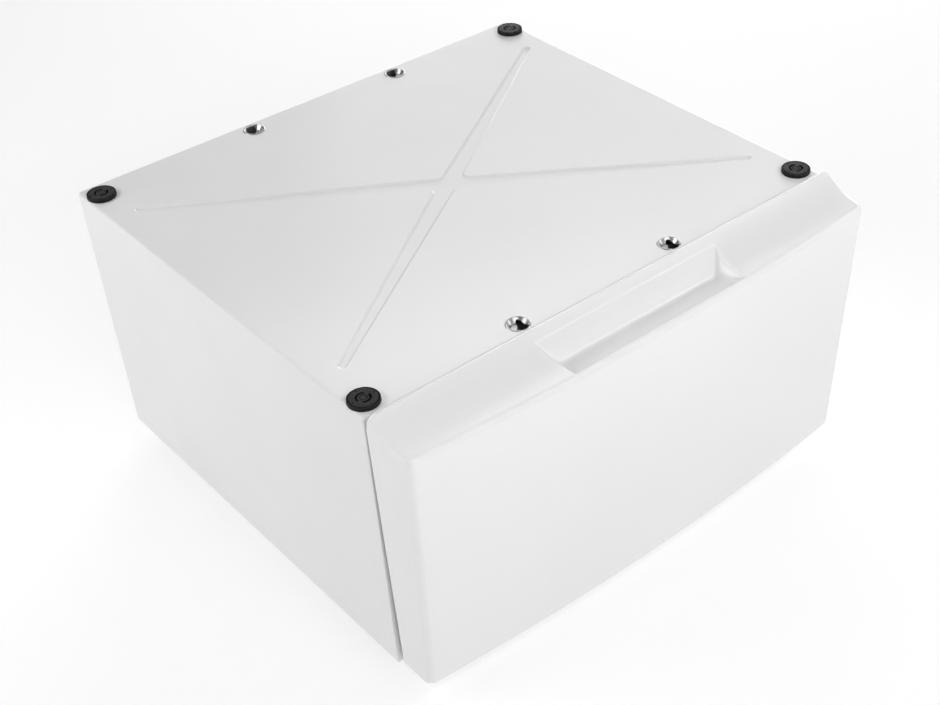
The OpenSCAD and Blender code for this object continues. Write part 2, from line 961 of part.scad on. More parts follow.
module drawer_rivets() {
    color(steel) place()
        for (s = [-1, 1])
            at_slide_rivets(s) {
                peg_x(rivet_r, box_x - box_t, box_x + slide_sheet);
                peg_x(2 * rivet_r, box_x - box_t - 1.5, box_x - box_t);
            }
}

// ---- drawer front ----
boss_d = 10;
bumper_d = 10;
bumper_inset = 50;
front_head_r = 2 * front_screw_r;
front_head_t = 2.4;

// the lower bosses grow out of the hollow's floor
liner_screw_z = liner_z0 + liner_ledge + boss_d / 2 - 1;

module at_liner_screws() {
    for (x = [liner_screw_inset - liner_x, 0, liner_x - liner_screw_inset])
        for (z = [liner_screw_z, box_z0 + box_h + boss_d])
            translate([x, 0, z])
                children();
}

module front_solid() {
    st = front_stations();
    rings = [for (q = st)
        let (x = max(-front_w / 2, min(front_w / 2, q[0])))
        [for (p = front_section(x, q[1], q[2]))
            [x + sign(x) * (end_x(p[1]) - front_w / 2) * abs(x) / (front_w / 2), -p[0], p[1]]]];
    polyhedron(
        points = [for (r = rings) for (p = r) p],
        faces = loft_faces(len(rings), len(rings[0])),
        convexity = 6
    );
}

// the pocket's section: a rolled edge, a steep back wall, a floor as round as the pocket's
// width w and height h leave room for, and the lip's back
function pocket_section() =
    let (
        a0 = asin((scoop_flat - pocket_back) / scoop_r),
        a1 = pocket_slope,
        r1 = pocket_roll_r,
        r3 = 5,
        c1 = [pocket_back, lip_top + scoop_rise(pocket_back)] - (r1 - roll_start) * [sin(a0), cos(a0)],
        e1 = c1 + r1 * [sin(a1), cos(a1)],
        w = pocket_front - r3 - e1[0],
        h = e1[1] - pocket_z,
        r2 = 0.95 * min((w - h / tan(a1)) / tan(a1 / 2), h / (1 - cos(a1))),
        t = (h - r2 * (1 - cos(a1))) / sin(a1),
        c2 = [e1[0] + t * cos(a1) + r2 * sin(a1), pocket_z + r2]
    )
    concat(
        arc(c1, r1, 90 - a0, 90 - a1, 4),
        arc(c2, r2, 270 - a1, 270, 8),
        arc([pocket_front - r3, pocket_z + r3], r3, 270, 360, 4),
        [[pocket_front, scoop_top + 5], [pocket_back - r1 * sin(a0), scoop_top + 5]]
    );

// the hollow behind the face, bowed and raked like it, one wall thickness inside it
module front_hollow(x1, z0, z1) {
    bays = 8;
    rings = [for (i = [0:bays])
        let (x = x1 * (2 * i / bays - 1))
        [[x, 0, z0], [x, front_wall - face_u(x, z0), z0], [x, front_wall - face_u(x, z1), z1], [x, 0, z1]]];
    polyhedron(
        points = [for (r = rings) for (p = r) p],
        faces = loft_faces(bays + 1, 4),
        convexity = 4
    );
}

module drawer_front_panel() {
    color(white) place()
        difference() {
            front_solid();
            along_x(-pocket_w / 2, pocket_w / 2)
                mirror([1, 0, 0])
                    polygon(pocket_section());
            difference() {
                front_hollow(liner_x - liner_ledge, liner_z0 + liner_ledge, liner_z1 - liner_ledge);
                bar(-pocket_w / 2 - front_wall, pocket_w / 2 + front_wall, -200, 1,
                    pocket_z - front_wall, lip_top);
                at_liner_screws()
                    peg_y(boss_d / 2, -200, -front_gap - liner_t);
                at_front_screws()
                    peg_y(boss_d / 2, -200, -front_gap - liner_t);
            }
            bar(-liner_x - liner_gap, liner_x + liner_gap, -front_gap - liner_t, 1,
                liner_z0 - liner_gap, liner_z1 + liner_gap);
            at_liner_screws()
                peg_y(front_screw_r, -front_gap - front_screw_len, 0);
            at_front_screws()
                peg_y(front_screw_r, -front_gap - front_screw_len, 0);
        }
}

module front_liner() {
    color(steel) place()
        difference() {
            bar(-liner_x, liner_x, -front_gap - liner_t, -front_gap, liner_z0, liner_z1);
            at_liner_screws()
                peg_y(front_screw_r + fit, -50, 0);
            at_front_screws()
                peg_y(front_screw_r + fit, -50, 0);
        }
}

module front_screws() {
    color(steel) place()
        at_front_screws() {
            peg_y(front_screw_r - fit, box_t - front_gap - front_screw_len, box_t - front_gap);
            peg_y(front_head_r, box_t - front_gap, box_t - front_gap + front_head_t);
        }
}

module liner_screws() {
    color(steel) place()
        at_liner_screws() {
            peg_y(front_screw_r - fit, 1 - front_gap - front_screw_len, -front_gap);
            peg_y(front_head_r, -front_gap, front_head_t - front_gap);
        }
}

// four buffers that rest on the flanges beside the opening
module front_bumpers() {
    color("#2b2b2b") place()
        for (s = [-1, 1])
            for (z = [liner_z0 + bumper_inset, liner_z1 - bumper_inset])
                translate([s * (post_x + bumper_d / 2 + 1), 0, z])
                    peg_y(bumper_d / 2, -front_gap, 0);
}

cabinet_shell();
back_panel();
front_top_rail();
front_bottom_rail();
rear_bottom_rail();
front_left_post();
front_right_post();
rear_left_post();
rear_right_post();
left_slide_rail();
right_slide_rail();
foot_plates();
lock_nuts();
pad_front_left();
pad_front_right();
pad_rear_left();
pad_rear_right();
cup_front_left();
cup_front_right();
cup_rear_left();
cup_rear_right();
left_slide_outer();
right_slide_outer();
slide_rivets();
back_panel_screws();
left_slide_middle();
right_slide_middle();
left_outer_cage();
left_outer_balls();
left_inner_cage();
left_inner_balls();
right_outer_cage();
right_outer_balls();
right_inner_cage();
right_inner_balls();
drawer_front_panel();
front_liner();
drawer_tray();
drawer_left_side();
drawer_right_side();
left_slide_inner();
right_slide_inner();
drawer_rivets();
front_screws();
liner_screws();
front_bumpers();
foot_front_left();
foot_front_right();
foot_rear_left();
foot_rear_right();
sole_front_left();
sole_front_right();
sole_rear_left();
sole_rear_right();
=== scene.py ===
# %% [markdown]
# # A pedestal drawer for a front-loading washer
# The engineering model comes first and stays where it is: a folded steel cabinet, a drawer on
# ball-bearing slides, and four levelling feet. This lesson dresses it. Some pieces keep their
# engineering shape and only get a finish. The pieces that the eye rests on, the painted shell, the
# moulded front, the rubber pads and the bright cups, are modelled again with softer edges.
# Every length is in metres, and a length that a maker would give in millimetres is written as
# so many times MM.

# %% open the engineering model
import json
import math

import bmesh
import bpy
from mathutils import Matrix, Vector


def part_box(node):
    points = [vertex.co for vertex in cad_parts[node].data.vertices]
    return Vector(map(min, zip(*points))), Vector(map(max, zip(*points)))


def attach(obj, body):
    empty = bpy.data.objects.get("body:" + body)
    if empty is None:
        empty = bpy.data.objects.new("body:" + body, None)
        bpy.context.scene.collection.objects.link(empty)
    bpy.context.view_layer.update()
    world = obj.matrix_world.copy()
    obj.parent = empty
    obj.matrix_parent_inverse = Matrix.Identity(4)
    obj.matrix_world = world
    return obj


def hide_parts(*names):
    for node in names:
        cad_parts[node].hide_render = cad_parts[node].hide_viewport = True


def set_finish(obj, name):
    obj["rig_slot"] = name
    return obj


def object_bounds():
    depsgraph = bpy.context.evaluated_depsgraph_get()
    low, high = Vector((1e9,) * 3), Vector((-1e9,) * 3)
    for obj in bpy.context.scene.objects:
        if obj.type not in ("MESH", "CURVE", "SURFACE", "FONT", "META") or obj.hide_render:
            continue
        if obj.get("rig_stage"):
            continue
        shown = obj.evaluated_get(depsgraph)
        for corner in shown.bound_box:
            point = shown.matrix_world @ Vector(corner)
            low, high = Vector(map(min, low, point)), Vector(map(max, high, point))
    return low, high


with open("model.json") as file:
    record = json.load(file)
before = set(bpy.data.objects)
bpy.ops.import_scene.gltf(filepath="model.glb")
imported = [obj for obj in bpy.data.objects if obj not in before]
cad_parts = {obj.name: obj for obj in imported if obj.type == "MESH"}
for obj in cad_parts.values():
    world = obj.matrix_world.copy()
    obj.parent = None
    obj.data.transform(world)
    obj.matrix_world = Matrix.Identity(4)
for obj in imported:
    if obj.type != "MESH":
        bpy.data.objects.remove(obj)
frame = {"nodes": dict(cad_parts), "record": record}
cad_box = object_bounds()
MM = 0.001

# %% [markdown]
# ## The camera
# The camera stands in front of the left corner and looks down at about 39 degrees. Its place was
# worked out from the corners, pads and bead of the real picture, so that the model and the picture
# lie on each other. A sensor shift keeps the object where the picture has it. It could also be done
# by cropping a wider picture, but a shift keeps all the pixels.

# %% camera
PHOTO_W, PHOTO_H = 940, 705
AZIMUTH, ELEVATION, ROLL = -40.8766, 39.0695, -1.6571
FOCAL_PX = 1511.63
LENS_CENTRE = (580.0, 400.0)
EYE = (-0.938115, -1.276015, 1.342729)


def camera_axes(azimuth, elevation, roll):
    a, e, r = (math.radians(v) for v in (azimuth, elevation, roll))
    back = Vector((math.sin(a) * math.cos(e), -math.cos(a) * math.cos(e), math.sin(e)))
    right = Vector((0, 0, 1)).cross(back).normalized()
    up = back.cross(right)
    return right * math.cos(r) + up * math.sin(r), up * math.cos(r) - right * math.sin(r), back


lens = bpy.data.cameras.new("studio_camera")
lens.sensor_fit = "HORIZONTAL"
lens.sensor_width = 36
lens.lens = FOCAL_PX * lens.sensor_width / PHOTO_W
lens.shift_x = (PHOTO_W / 2 - LENS_CENTRE[0]) / PHOTO_W
lens.shift_y = (LENS_CENTRE[1] - PHOTO_H / 2) / PHOTO_W
camera = bpy.data.objects.new("studio_camera", lens)
bpy.context.scene.collection.objects.link(camera)
axes = camera_axes(AZIMUTH, ELEVATION, ROLL)
camera.matrix_world = Matrix.Translation(EYE) @ Matrix(axes).transposed().to_4x4()
bpy.context.scene.camera = camera
print(f"focal length {lens.lens:.1f} mm")

# %% [markdown]
# ## Tools of the bench
# Modelling by hand means: add a primitive, go into edit mode, select something by its place, and
# apply one tool to it. The helpers below are those few moves. A selection is written as a test on
# the middle of a vertex, an edge or a face, so the script says in words what a hand would click.

# %% selecting and opening
NEAR = 0.02 * MM


def deselect():
    for o in bpy.context.selected_objects:
        o.select_set(False)


def activate(o):
    deselect()
    o.select_set(True)
    bpy.context.view_layer.objects.active = o


def edit(o):
    activate(o)
    bpy.ops.object.mode_set(mode="EDIT")
    bpy.ops.mesh.select_mode(type="VERT")
    bpy.ops.mesh.select_all(action="DESELECT")


def done():
    bpy.ops.object.mode_set(mode="OBJECT")


def pick(kind, test):
    """Selects the open mesh's VERT, EDGE or FACE elements whose middle passes the test."""
    bpy.ops.mesh.select_mode(type=kind)
    bpy.ops.mesh.select_all(action="DESELECT")
    mesh = bmesh.from_edit_mesh(bpy.context.edit_object.data)
    found = 0
    for e in {"VERT": mesh.verts, "EDGE": mesh.edges, "FACE": mesh.faces}[kind]:
        middle = sum((v.co for v in e.verts), Vector()) / len(e.verts) if kind != "VERT" else e.co
        if test(e, middle):
            e.select_set(True)
            found += 1
    mesh.select_flush_mode()
    bmesh.update_edit_mesh(bpy.context.edit_object.data)
    return found


def near(a, b):
    return abs(a - b) < NEAR


def weld():
    """Merges the open mesh's doubled vertices and turns all its faces outward."""
    bpy.ops.mesh.select_all(action="SELECT")
    bpy.ops.mesh.remove_doubles(threshold=NEAR / 4)
    bpy.ops.mesh.normals_make_consistent(inside=False)


# %% starting and finishing a piece
def block(name, low, high):
    """A cube primitive, given its real size and place."""
    deselect()
    bpy.ops.mesh.primitive_cube_add(size=1, location=[(a + b) / 2 for a, b in zip(low, high)])
    o = bpy.context.object
    o.name = name
    o.scale = [b - a for a, b in zip(low, high)]
    bpy.ops.object.transform_apply(location=True, rotation=True, scale=True)
    return o


def outline_face(name, points):
    """A circle primitive whose corners are moved onto an outline, filled with one face."""
    deselect()
    bpy.ops.mesh.primitive_circle_add(vertices=len(points), radius=1, fill_type="NGON")
    o = bpy.context.object
    o.name = name
    for v, p in zip(o.data.vertices, points):
        v.co = p
    return o


def apply_modifier(o, kind, **settings):
    activate(o)
    modifier = o.modifiers.new(kind.lower(), kind)
    for key, value in settings.items():
        setattr(modifier, key, value)
    bpy.ops.object.modifier_apply(modifier=modifier.name)


def cut(o, cutter):
    apply_modifier(o, "BOOLEAN", object=cutter, operation="DIFFERENCE", solver="MANIFOLD")
    bpy.data.objects.remove(cutter)


def smooth(o, degrees=35):
    """Smooth shading up to an angle, with large flat faces kept flat."""
    activate(o)
    bpy.ops.object.shade_smooth_by_angle(angle=math.radians(degrees))
    apply_modifier(o, "WEIGHTED_NORMAL", weight=80, keep_sharp=True)


def lathe(name, centre, profile, steps):
    """A single vertex is extruded along the profile, and the profile is spun round a plumb line."""
    deselect()
    bpy.ops.mesh.primitive_plane_add(size=MM, location=centre)
    o = bpy.context.object
    o.name = name
    bpy.ops.object.transform_apply(location=True)
    edit(o)
    bpy.ops.mesh.select_all(action="SELECT")
    bpy.ops.mesh.merge(type="CENTER")
    bpy.ops.transform.translate(value=(profile[0][0], 0, profile[0][1]))
    for (r0, h0), (r1, h1) in zip(profile, profile[1:]):
        bpy.ops.mesh.extrude_vertices_move(TRANSFORM_OT_translate={"value": (r1 - r0, 0, h1 - h0)})
    bpy.ops.mesh.select_all(action="SELECT")
    bpy.ops.mesh.spin(steps=steps, angle=2 * math.pi, center=centre, axis=(0, 0, 1))
    weld()
    done()
    return o


def arc(centre, radius, first, last, steps):
    """Points (u, v) of an arc, angles in degrees."""
    turns = [math.radians(first + (last - first) * i / steps) for i in range(steps + 1)]
    return [(centre[0] + radius * math.cos(t), centre[1] + radius * math.sin(t)) for t in turns]


def report(o):
    size = [1000 * d for d in o.dimensions]
    faces = sum(len(p.vertices) - 2 for p in o.data.polygons)
    print(f"{o.name}: {size[0]:.1f} x {size[1]:.1f} x {size[2]:.1f} mm, {faces} triangles")


# %% [markdown]
# ## The painted shell
# On the real pedestal one sheet of 1.2 mm steel is cut flat, a crossed bead is pressed into it to
# keep it from drumming, and it is folded round the top and both sides. It could be modelled as the
# flat sheet and then bent, but a box with its edges rounded and its openings taken out gives the
# same shape with fewer steps, and the sheet's thickness comes last, as one wall all over.

# %% shell: sizes
SHEET = 1.2 * MM
LONG_FOLD = 4 * MM
FRONT_FOLD = 2 * MM
BACK_FOLD = 1.6 * MM
FRONT_FLANGE, TOP_FLANGE, BACK_FLANGE = 20 * MM, 25 * MM, 15 * MM
low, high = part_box("cabinet_shell")
print(f"shell {1000 * (high.x - low.x):.0f} wide, {1000 * (high.y - low.y):.0f} deep, "
      f"{1000 * (high.z - low.z):.0f} high")

# %% shell: a box with rounded folds
shell = block("shell", low, high)
edit(shell)
pick("EDGE", lambda e, m: near(m.z, high.z) and near(m.y, (low.y + high.y) / 2))
bpy.ops.mesh.bevel(offset=LONG_FOLD, segments=6, affect="EDGES")
pick("EDGE", lambda e, m: near(m.z, low.z) and near(m.y, (low.y + high.y) / 2))
bpy.ops.mesh.bevel(offset=BACK_FOLD, segments=3, affect="EDGES")
for plane, radius in ((low.y, FRONT_FOLD), (high.y, BACK_FOLD)):
    pick("EDGE", lambda e, m: all(near(v.co.y, plane) for v in e.verts) and m.z > low.z + 2 * BACK_FOLD)
    bpy.ops.mesh.bevel(offset=radius, segments=4, affect="EDGES")


# %% shell: the openings
def open_face(side, cuts, test):
    """Cuts the faces on one side along planes and deletes those that pass the test."""
    for co, no in cuts:
        pick("FACE", side)
        bpy.ops.mesh.bisect(plane_co=co, plane_no=no)
    pick("FACE", lambda f, m: side(f, m) and test(m))
    bpy.ops.mesh.delete(type="FACE")


def upright(x):
    return [((s * x, 0, 0), (1, 0, 0)) for s in (-1, 1)]


front_x = high.x - FRONT_FLANGE
back_x = high.x - SHEET - BACK_FLANGE
front_top, back_top = high.z - TOP_FLANGE, high.z - BACK_FLANGE
open_face(lambda f, m: near(m.y, low.y) and f.normal.y < -0.99,
          upright(front_x) + [((0, 0, front_top), (0, 0, 1))],
          lambda m: abs(m.x) < front_x and m.z < front_top)
open_face(lambda f, m: near(m.y, high.y) and f.normal.y > 0.99,
          upright(back_x) + [((0, 0, back_top), (0, 0, 1))],
          lambda m: abs(m.x) < back_x and m.z < back_top)
open_face(lambda f, m: near(m.z, low.z) and f.normal.z < -0.99,
          upright(front_x), lambda m: abs(m.x) < front_x)
pick("FACE", lambda f, m: near(m.z, high.z) and f.normal.z > 0.999)
bpy.ops.mesh.delete(type="ONLY_FACE")
done()
report(shell)

# %% [markdown]
# The bead is a flat cross whose arms widen toward the middle. Its outline is drawn once: straight
# flanks, a half round at the end of each arm, and a 6 mm fillet in each of the four inner corners.
# The face inside is then inset again and again, each time a little lower, so the press's soft wall
# appears without any sharp line.

# %% bead: its outline
BEAD_DEPTH = 2 * MM
BEAD_END, BEAD_MIDDLE = 12 * MM / 2, 27 * MM / 2
BEAD_X = 307 * MM
BEAD_FRONT, BEAD_BACK = 87 * MM, 88 * MM
BEAD_FILLET = 6 * MM
middle = Vector((0, (low.y + BEAD_FRONT + high.y - BEAD_BACK) / 2))
arm_y = (high.y - BEAD_BACK - low.y - BEAD_FRONT) / 2
arms = [Vector((sx * BEAD_X, sy * arm_y)) for sx, sy in ((1, 1), (-1, 1), (-1, -1), (1, -1))]


def flank(arm, side):
    """The two ends of one straight flank of an arm; side is 1 on its left and -1 on its right."""
    across = Vector((-arm.y, arm.x)).normalized() * side
    return middle + across * BEAD_MIDDLE, middle + arm + across * BEAD_END


def crossing(a, b, c, d):
    """Where the line a-b crosses the line c-d."""
    p, q = b - a, d - c
    t = ((c - a).x * q.y - (c - a).y * q.x) / (p.x * q.y - p.y * q.x)
    return a + p * t


def fillet(corner, a, b, radius, steps):
    """An arc that touches the lines from the corner to a and to b."""
    p, q = (a - corner).normalized(), (b - corner).normalized()
    half = p.angle(q) / 2
    centre = corner + (p + q).normalized() * radius / math.sin(half)
    start, end = corner + p * radius / math.tan(half), corner + q * radius / math.tan(half)
    first = math.atan2(start.y - centre.y, start.x - centre.x)
    turn = math.atan2(end.y - centre.y, end.x - centre.x) - first
    turn = (turn + math.pi) % (2 * math.pi) - math.pi
    return [Vector((centre.x + radius * math.cos(first + turn * i / steps),
                    centre.y + radius * math.sin(first + turn * i / steps))) for i in range(steps + 1)]


outline = []
for arm, following in zip(arms, arms[1:] + arms[:1]):
    heading = math.degrees(math.atan2(arm.y, arm.x))
    outline += [Vector(p) for p in arc(middle + arm, BEAD_END, heading - 90, heading + 90, 10)]
    left, right = flank(arm, 1), flank(following, -1)
    corner = crossing(*left, *right)
    outline += fillet(corner, left[1], right[1], BEAD_FILLET, 6)
print("bead outline:", len(outline), "points")

# %% bead: pressed down in small insets
PRESS_STEPS = 7
PRESS_WIDTH, PRESS_LAND = 3.4 * MM, 0.3 * MM
bead = outline_face("bead", [(p.x, p.y, high.z) for p in outline])
edit(bead)
pick("FACE", lambda f, m: True)
bpy.ops.mesh.inset(thickness=PRESS_LAND, depth=0)
fallen = 0
for i in range(1, PRESS_STEPS + 1):
    share = i / PRESS_STEPS
    depth = BEAD_DEPTH * share * share * (3 - 2 * share)
    bpy.ops.mesh.inset(thickness=PRESS_WIDTH / PRESS_STEPS, depth=fallen - depth)
    fallen = depth
done()
report(bead)

# %% [markdown]
# The flat of the top is filled between the rim, the bead and the holes in one go, as a cutting
# machine would see it. Then the whole sheet gets its 1.2 mm wall, inward, because all the sizes
# above are outside sizes.

# %% shell: the top is filled round the bead and the holes
CUP_HOLE_R, STEM_R, HOLE_CORNERS = 12.85 * MM, 4 * MM, 48
corners = [f"{a}_{b}" for a in ("front", "rear") for b in ("left", "right")]


def centre_of(node):
    a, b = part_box(node)
    return (a + b) / 2


holes = []
for corner in corners:
    for node, radius in (("cup_" + corner, CUP_HOLE_R), ("pad_" + corner, STEM_R)):
        c = centre_of(node)
        deselect()
        bpy.ops.mesh.primitive_circle_add(vertices=HOLE_CORNERS, radius=radius,
                                          location=(c.x, c.y, high.z))
        bpy.ops.object.transform_apply(location=True)
        holes.append(bpy.context.object)
activate(shell)
for o in holes + [bead]:
    o.select_set(True)
bpy.ops.object.join()
edit(shell)
pick("EDGE", lambda e, m: len(e.link_faces) < 2 and all(near(v.co.z, high.z) for v in e.verts))
bpy.ops.mesh.fill(use_beauty=True)
weld()
done()
top_up = sum(p.area * p.normal.z for p in shell.data.polygons if p.center.z > high.z - 3 * MM)
print(f"the top faces {'up' if top_up > 0 else 'down'}, {1e4 * abs(top_up):.0f} square cm")

# %% shell: the wall
apply_modifier(shell, "SOLIDIFY", thickness=SHEET, offset=-1, use_even_offset=True,
               use_quality_normals=True)
smooth(shell, 40)
report(shell)
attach(shell, "cabinet")
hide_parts("cabinet_shell")
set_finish(shell, "white_paint")

# %% [markdown]
# ## The moulded front
# The drawer front is one moulding: bowed in plan, raked outward toward the top, with a scoop along
# its whole top edge and a deeper pocket in the middle for the fingers. Edit-mode tools give flat
# and round shapes, but not a face that bows, rakes and dips at once, so a grid is taken and each
# of its rows is laid on the section that the moulding has at that place. The back is then closed
# by hand, and the seat of the back plate is cut into it.

# %% front: sizes
FRONT_GAP = 6 * MM
FRONT_INSET, FRONT_FLARE, FRONT_LIFT = 4 * MM, 5 * MM, 2.5 * MM
REACH, RAKE, BOW = 55.5 * MM, 17 * MM, 16 * MM
LIP_Z, LIP_R = 351 * MM, 8 * MM
END_R, END_TOP_R = 9 * MM, 6.5 * MM
SCOOP_R, SCOOP_FLAT, SCOOP_BACK = 92 * MM, 70 * MM, 12.5 * MM
NOSE_R, BOTTOM_R = 2.5 * MM, 3 * MM
BACK_TOP = 359 * MM
front_half = high.x - FRONT_INSET
front_low = low.z + FRONT_LIFT
lip_top = low.z + LIP_Z


def rise(u):
    """Height of the scoop above the lip, at a distance u from the cabinet."""
    return SCOOP_R - math.sqrt(SCOOP_R ** 2 - (SCOOP_FLAT - u) ** 2) if u < SCOOP_FLAT else 0.0


def reach(x, z):
    """Distance of the face from the cabinet."""
    bow = BOW * (1 - (min(abs(x), front_half) / front_half) ** 2)
    return REACH + RAKE * (z - front_low) / (lip_top - front_low) + bow


# %% [markdown]
# The pocket is sunk into the scoop. Seen from the side its back wall leaves the scoop without an
# edge, runs down into a soft valley and rises a little toward the lip; at its two ends a wall
# climbs back to the scoop, and in front stands the lip with a small roll on its inner edge. The
# script works out how far each point lies below the scoop. The depth at the ends is rounded off
# against the depth in the middle, as a toolmaker would do with a file, so no crease stays sharp.

# %% front: the pocket
POCKET_HALF = 263 * MM / 2
POCKET_TAPER = 5.5 * MM
POCKET_BACK = 25 * MM
LIP_BACK_T = 8 * MM
EDGE_R, END_EDGE_R = 3 * MM, 4.5 * MM
WALL_SLOPE, END_SLOPE = math.radians(80), math.radians(62)
FLOOR_BLEND, LIP_BLEND = 16 * MM, 4 * MM
VALLEY_BEHIND, VALLEY_DEPTH = 33 * MM, 16 * MM
FLOOR_RISE, BACK_BLEND = 12 * MM, 8 * MM
pocket_front = reach(POCKET_HALF, lip_top) - LIP_BACK_T
valley_u = pocket_front - VALLEY_BEHIND
back_drop = VALLEY_DEPTH + rise(POCKET_BACK)


def lower_of(a, b, soft):
    """The lower of two heights or depths, rounded where they meet."""
    h = max(1 - abs(a - b) / soft, 0) if soft > 0 else 0
    return min(a, b) - h * h * soft / 4


def pocket_profile(u):
    """Height of the pocket's back wall, valley and floor at a distance u from the cabinet."""
    behind = (valley_u - u) / (valley_u - POCKET_BACK)
    ahead = (u - valley_u) / VALLEY_BEHIND
    climb = back_drop * behind ** 2 if behind > 0 else FLOOR_RISE * ahead ** 2
    return lower_of(lip_top + rise(u), lip_top - VALLEY_DEPTH + climb, BACK_BLEND)


def step_down(inward, radius, slope):
    """Depth under an edge rounded by a radius, at a distance inward from its tangent point."""
    if inward <= 0:
        return 0.0
    turn = min(inward, radius * math.sin(slope))
    fall = radius - math.sqrt(radius ** 2 - turn ** 2)
    return fall + (inward - turn) * math.tan(slope)


def top_height(x, u, base):
    """Height of the front's upper surface where it would be at height base without the pocket."""
    full = max(lip_top + rise(u) - pocket_profile(u), 0)
    forward = min(max((u - POCKET_BACK) / (pocket_front - POCKET_BACK), 0), 1)
    half = POCKET_HALF - POCKET_TAPER * forward
    end = step_down(half + END_EDGE_R - abs(x), END_EDGE_R, END_SLOPE)
    depth = max(lower_of(full, end, min(FLOOR_BLEND, 0.9 * full, 2 * end)), 0)
    behind_lip = step_down(pocket_front + EDGE_R - u, EDGE_R, WALL_SLOPE)
    return base - max(lower_of(depth, behind_lip, min(LIP_BLEND, 0.9 * depth, 2 * behind_lip)), 0)


print(f"pocket {2000 * POCKET_HALF:.0f} x {1000 * (pocket_front - POCKET_BACK):.0f} mm, "
      f"{1000 * VALLEY_DEPTH:.0f} deep under the lip, deepest {1000 * VALLEY_BEHIND:.0f} behind it")


# %% front: one upright section
FACE_STEPS, EDGE_STEPS, HOLLOW_STEPS = 14, 26, 50
EDGE_RUN, LIP_ROOM = 8 * MM, 0.5 * MM
NOSE_START = 12


def spread(first, last, steps):
    return [first + (last - first) * i / steps for i in range(steps + 1)]


def section(x, pulled, sunk):
    """Points (distance from the cabinet, height) from the back edge below, round to the back above."""
    foot_u = reach(x, front_low) - pulled
    lip_u = reach(x, lip_top) - pulled - LIP_R
    turn = math.degrees(math.asin((SCOOP_FLAT - SCOOP_BACK) / SCOOP_R))
    scoop_top = lip_top + rise(SCOOP_BACK) - sunk
    nose = (SCOOP_BACK - NOSE_R * math.sin(math.radians(turn)),
            scoop_top - NOSE_R * math.cos(math.radians(turn)))
    bottom = arc((foot_u - BOTTOM_R, front_low + BOTTOM_R), BOTTOM_R, -90, 0, 6)
    lip = arc((lip_u, lip_top - sunk - LIP_R), LIP_R, 0, 90, 14)
    face = list(zip(*(spread(a, b, FACE_STEPS) for a, b in zip(bottom[-1], lip[0]))))
    edge_u = min(pocket_front + EDGE_R, lip_u - LIP_ROOM)
    scoop_u = (spread(lip_u, edge_u, 2) + spread(edge_u, edge_u - EDGE_RUN, EDGE_STEPS)[1:]
               + spread(edge_u - EDGE_RUN, SCOOP_BACK, HOLLOW_STEPS)[1:])
    scoop = [(u, top_height(x, u, lip_top - sunk + rise(u))) for u in scoop_u]
    lip = [(u, top_height(x, u, z)) for u, z in lip]
    return ([(FRONT_GAP, front_low)] + bottom + face[1:-1] + lip[:-1] + scoop
            + arc(nose, NOSE_R, 90 - turn + NOSE_START, 180, 6) + [(FRONT_GAP, low.z + BACK_TOP - sunk)])


# %% [markdown]
# The sections stand close together where the shape turns quickly, at the rounded ends and at the
# pocket's ends, and far apart where it is calm. That way the moulding stays smooth with few faces.

# %% front: where the sections stand
END_STEPS, CALM_STEPS, TURNING_STEPS, INNER_STEPS = 10, 26, 60, 20
turning_first, turning_last = -POCKET_HALF - 8 * MM, -POCKET_HALF + 34 * MM
stations = [(-front_half + END_R * (1 - math.cos(a)), END_R * (1 - math.sin(a)),
             END_TOP_R * (1 - math.sin(a))) for a in spread(0, math.pi / 2, END_STEPS)]
calm = spread(-front_half + END_R, turning_first, CALM_STEPS)[1:]
turning = spread(turning_first, turning_last, TURNING_STEPS)[1:]
inner = spread(turning_last, 0, INNER_STEPS)[1:]
stations += [(x, 0, 0) for x in calm + turning + inner]
stations += [(-x, pulled, sunk) for x, pulled, sunk in stations[-2::-1]]


def flared(x, z):
    """The ends lean outward on their way up to the scoop."""
    return x * (1 + FRONT_FLARE * min((z - front_low) / (lip_top - front_low), 1) / front_half)


rows = [[Vector((flared(x, z), low.y - u, z)) for u, z in section(x, pulled, sunk)]
        for x, pulled, sunk in stations]
print(len(rows), "sections of", len(rows[0]), "points")

# %% front: the grid is laid on the sections
deselect()
bpy.ops.mesh.primitive_grid_add(x_subdivisions=len(rows[0]) - 1, y_subdivisions=len(rows) - 1, size=1)
front = bpy.context.object
front.name = "front"
for v, p in zip(front.data.vertices, (p for row in rows for p in row)):
    v.co = p
edit(front)
for end in (-1, 1):
    pick("EDGE", lambda e, m: len(e.link_faces) == 1 and end * m.x > front_half - NEAR
         and m.y < low.y - FRONT_GAP - NEAR)
    bpy.ops.mesh.edge_face_add()
pick("EDGE", lambda e, m: len(e.link_faces) == 1)
bpy.ops.mesh.edge_face_add()
bpy.ops.mesh.select_all(action="SELECT")
bpy.ops.mesh.normals_make_consistent(inside=False)
done()
report(front)

# %% front: the seat of the back plate
SEAT_GAP, SEAT_OPEN = 0.3 * MM, 2 * MM
plate_low, plate_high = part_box("front_liner")
seat = block("seat", (plate_low.x - SEAT_GAP, plate_low.y, plate_low.z - SEAT_GAP),
             (plate_high.x + SEAT_GAP, plate_high.y + SEAT_OPEN, plate_high.z + SEAT_GAP))
cut(front, seat)
smooth(front, 50)
report(front)
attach(front, "drawer")
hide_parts("drawer_front_panel")
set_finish(front, "white_front")

# %% [markdown]
# ## Rubber pads
# Each pad is a moulded disc with a shallow groove inside its rim, and a stem that snaps into the
# top sheet. It is a turned shape, so its profile is drawn as a chain of vertices and spun. The two
# curved grooves and the little moulding marks in its face don't run all round, and are cut
# afterwards.

